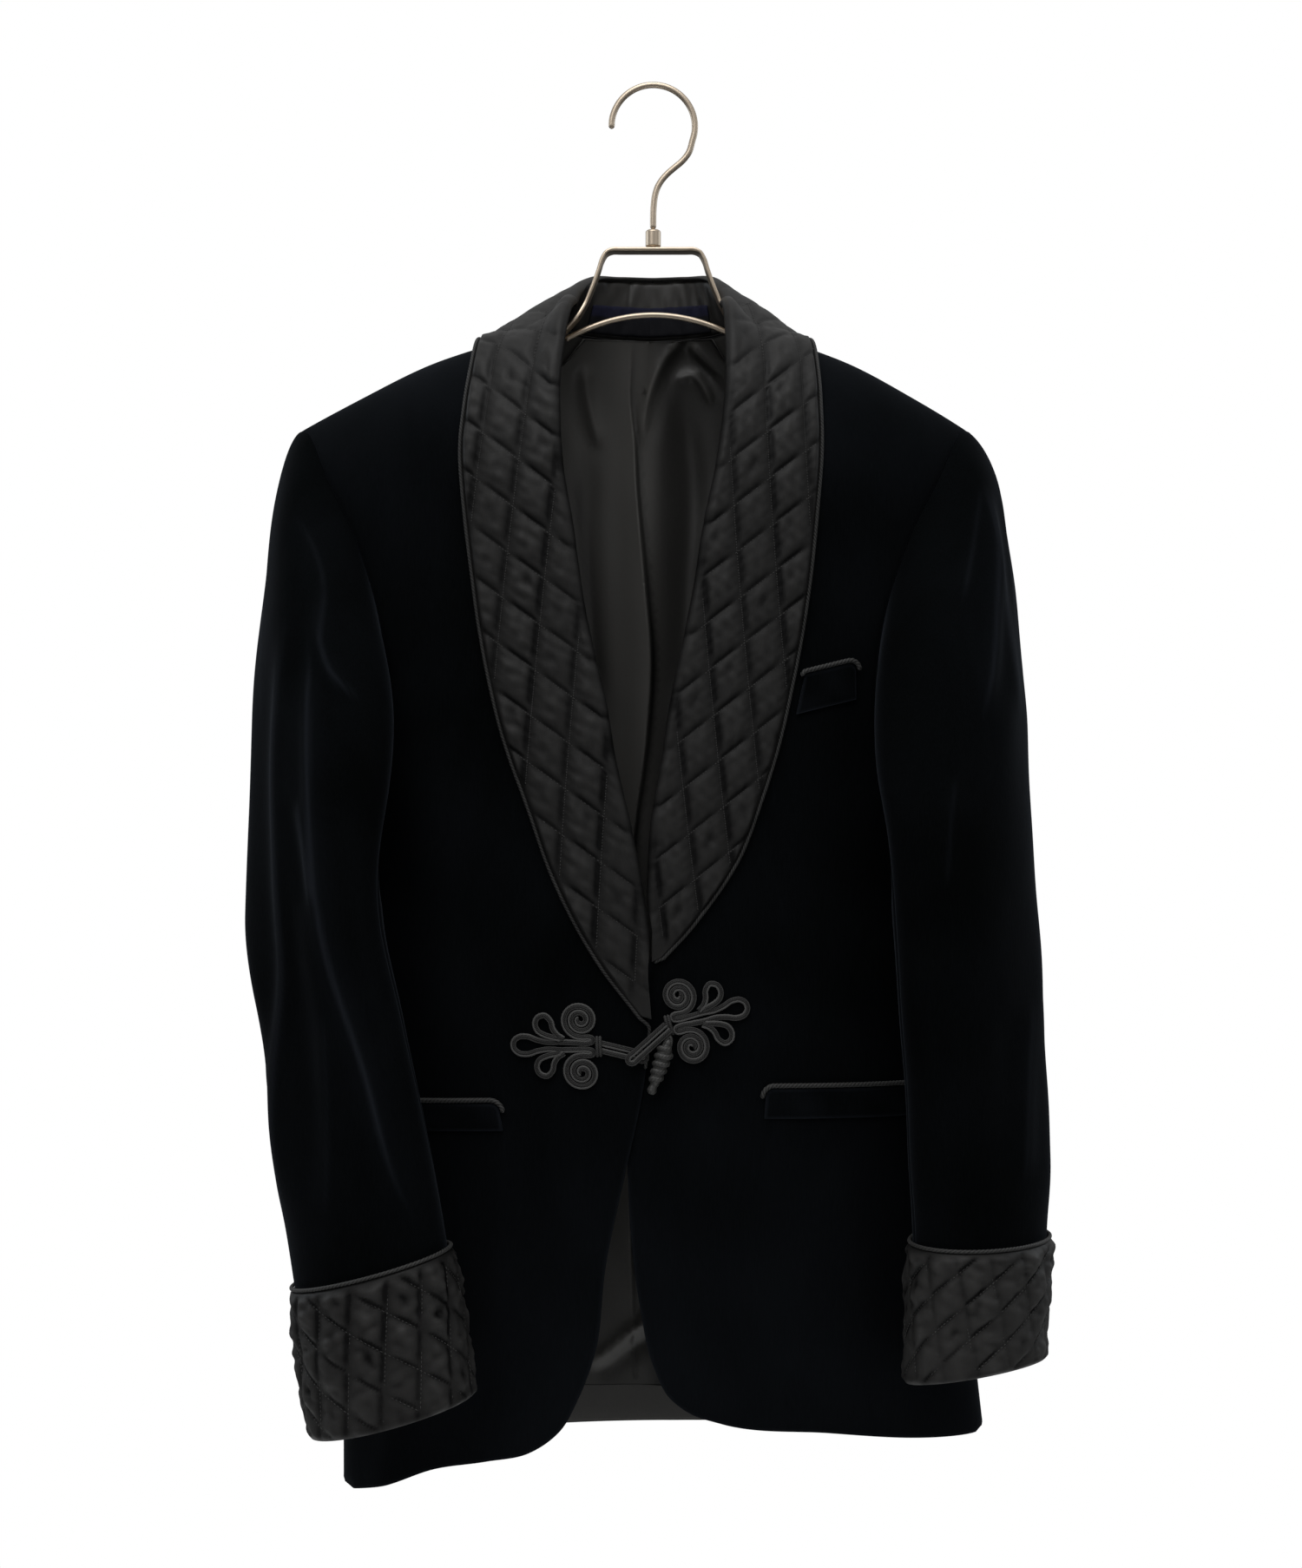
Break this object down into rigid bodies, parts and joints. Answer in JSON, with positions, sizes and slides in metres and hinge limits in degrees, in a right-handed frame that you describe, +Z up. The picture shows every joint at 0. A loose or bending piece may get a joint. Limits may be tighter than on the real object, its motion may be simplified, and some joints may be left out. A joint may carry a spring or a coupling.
{
  "type": "velvet smoking jacket on a metal hanger",
  "caption": "Velvet smoking jacket with quilted satin shawl collar and turned-back cuffs, welt pockets and a frog-and-toggle closure, hanging on a metal hanger with a wire hook.",
  "frame": {"origin": "inside of the hook's crown, where a rail carries the hanger", "axes": "+Z up, -Y out of the jacket's front, +X to the right of someone looking at the front"},
  "size_m": [0.5162, 0.2382, 0.9309],
  "materials": {
    "velvet": "midnight-black cut pile with a pale sheen at its edges",
    "quilted_satin": "charcoal satin, diamond quilted",
    "satin": "charcoal satin, plain",
    "lining": "thin charcoal satin",
    "navy_band": "plain navy weave",
    "cord": "twisted silk cord and flat braid",
    "satin_nickel": "warm satin nickel"
  },
  "bodies": {
    "root": {"back": "velvet", "front_left": "velvet", "front_right": "velvet", "sleeve_top_left": "velvet", "sleeve_top_right": "velvet", "sleeve_under_left": "velvet", "sleeve_under_right": "velvet", "pocket_breast": "velvet", "pocket_hip_left": "velvet", "pocket_hip_right": "velvet", "collar_left": "quilted_satin", "collar_right": "quilted_satin", "cuff_left": "quilted_satin", "cuff_right": "quilted_satin", "collar_stand": "satin", "lining_back": "lining", "neck_band": "navy_band", "collar_cord_left": "cord", "collar_cord_right": "cord", "cuff_cord_left": "cord", "cuff_cord_right": "cord", "pocket_breast_cord": "cord", "pocket_hip_left_cord": "cord", "pocket_hip_right_cord": "cord", "frog_knot_left": "cord", "frog_knot_right": "cord", "frog_loop_left": "cord", "frog_loop_right": "cord", "frog_bar_left": "cord", "frog_bar_right": "cord", "toggle": "cord", "hanger_hook": "satin_nickel", "hanger_ferrule": "satin_nickel", "hanger_bracket": "satin_nickel", "hanger_bar": "satin_nickel"}
  },
  "joints": []
}
